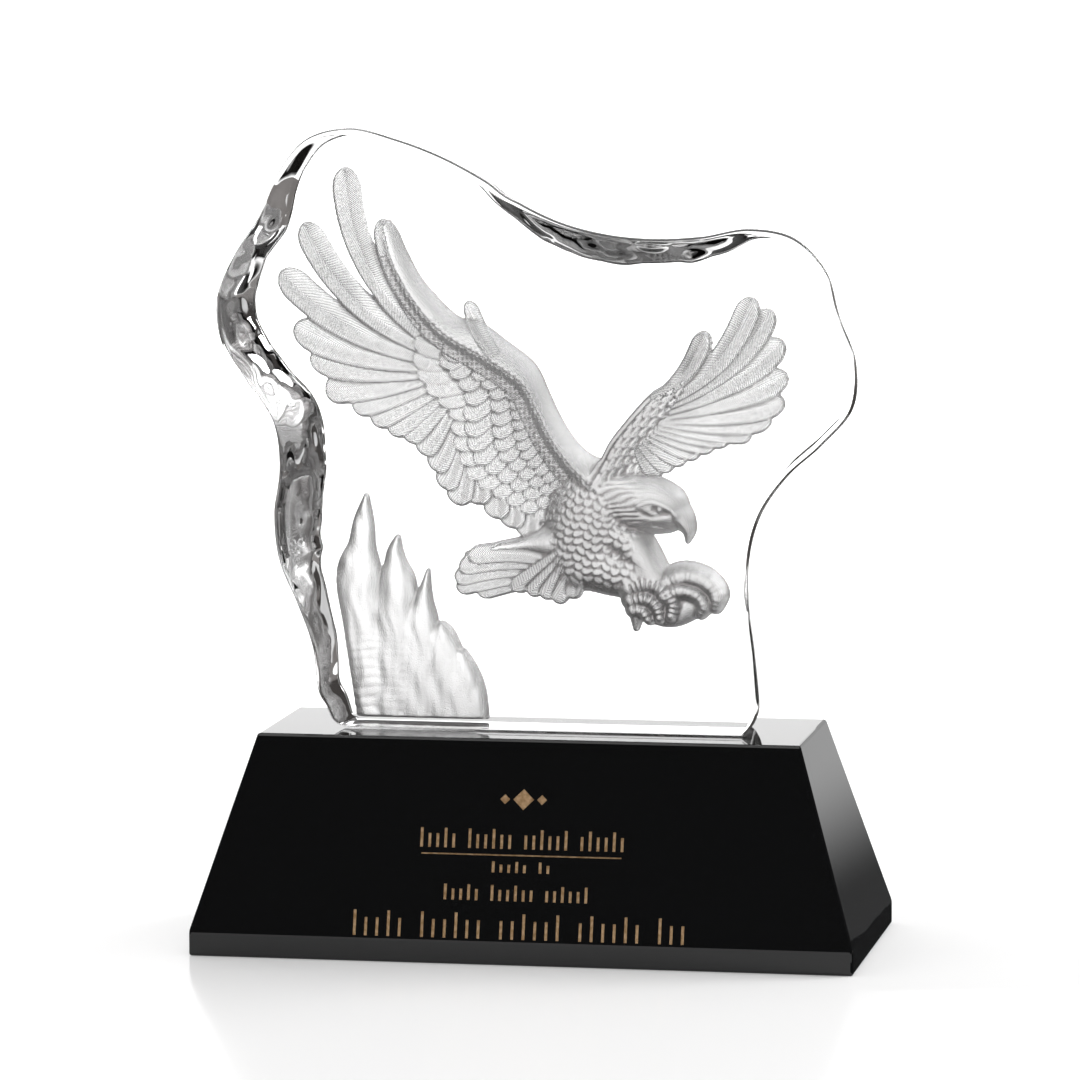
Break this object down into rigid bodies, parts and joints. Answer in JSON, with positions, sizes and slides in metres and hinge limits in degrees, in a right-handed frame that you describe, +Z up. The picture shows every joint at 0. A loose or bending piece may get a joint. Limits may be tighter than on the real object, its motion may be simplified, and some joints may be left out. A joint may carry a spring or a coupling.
{
  "type": "crystal eagle award",
  "caption": "Wavy clear crystal block with a swooping eagle and rising ice moulded into its back, standing on a flared black glass base.",
  "frame": {"origin": "centre of the base's underside", "axes": "+Z up, +X to the right and -Y out of the polished front as a person looks at it"},
  "size_m": [0.1782, 0.0764, 0.2188],
  "materials": {
    "clear_crystal": "clear polished optical crystal, frosted inside the carving",
    "black_glass": "polished opaque black glass with gold-filled strokes"
  },
  "bodies": {
    "root": {"crystal_block": "clear_crystal", "black_base": "black_glass"}
  },
  "joints": []
}
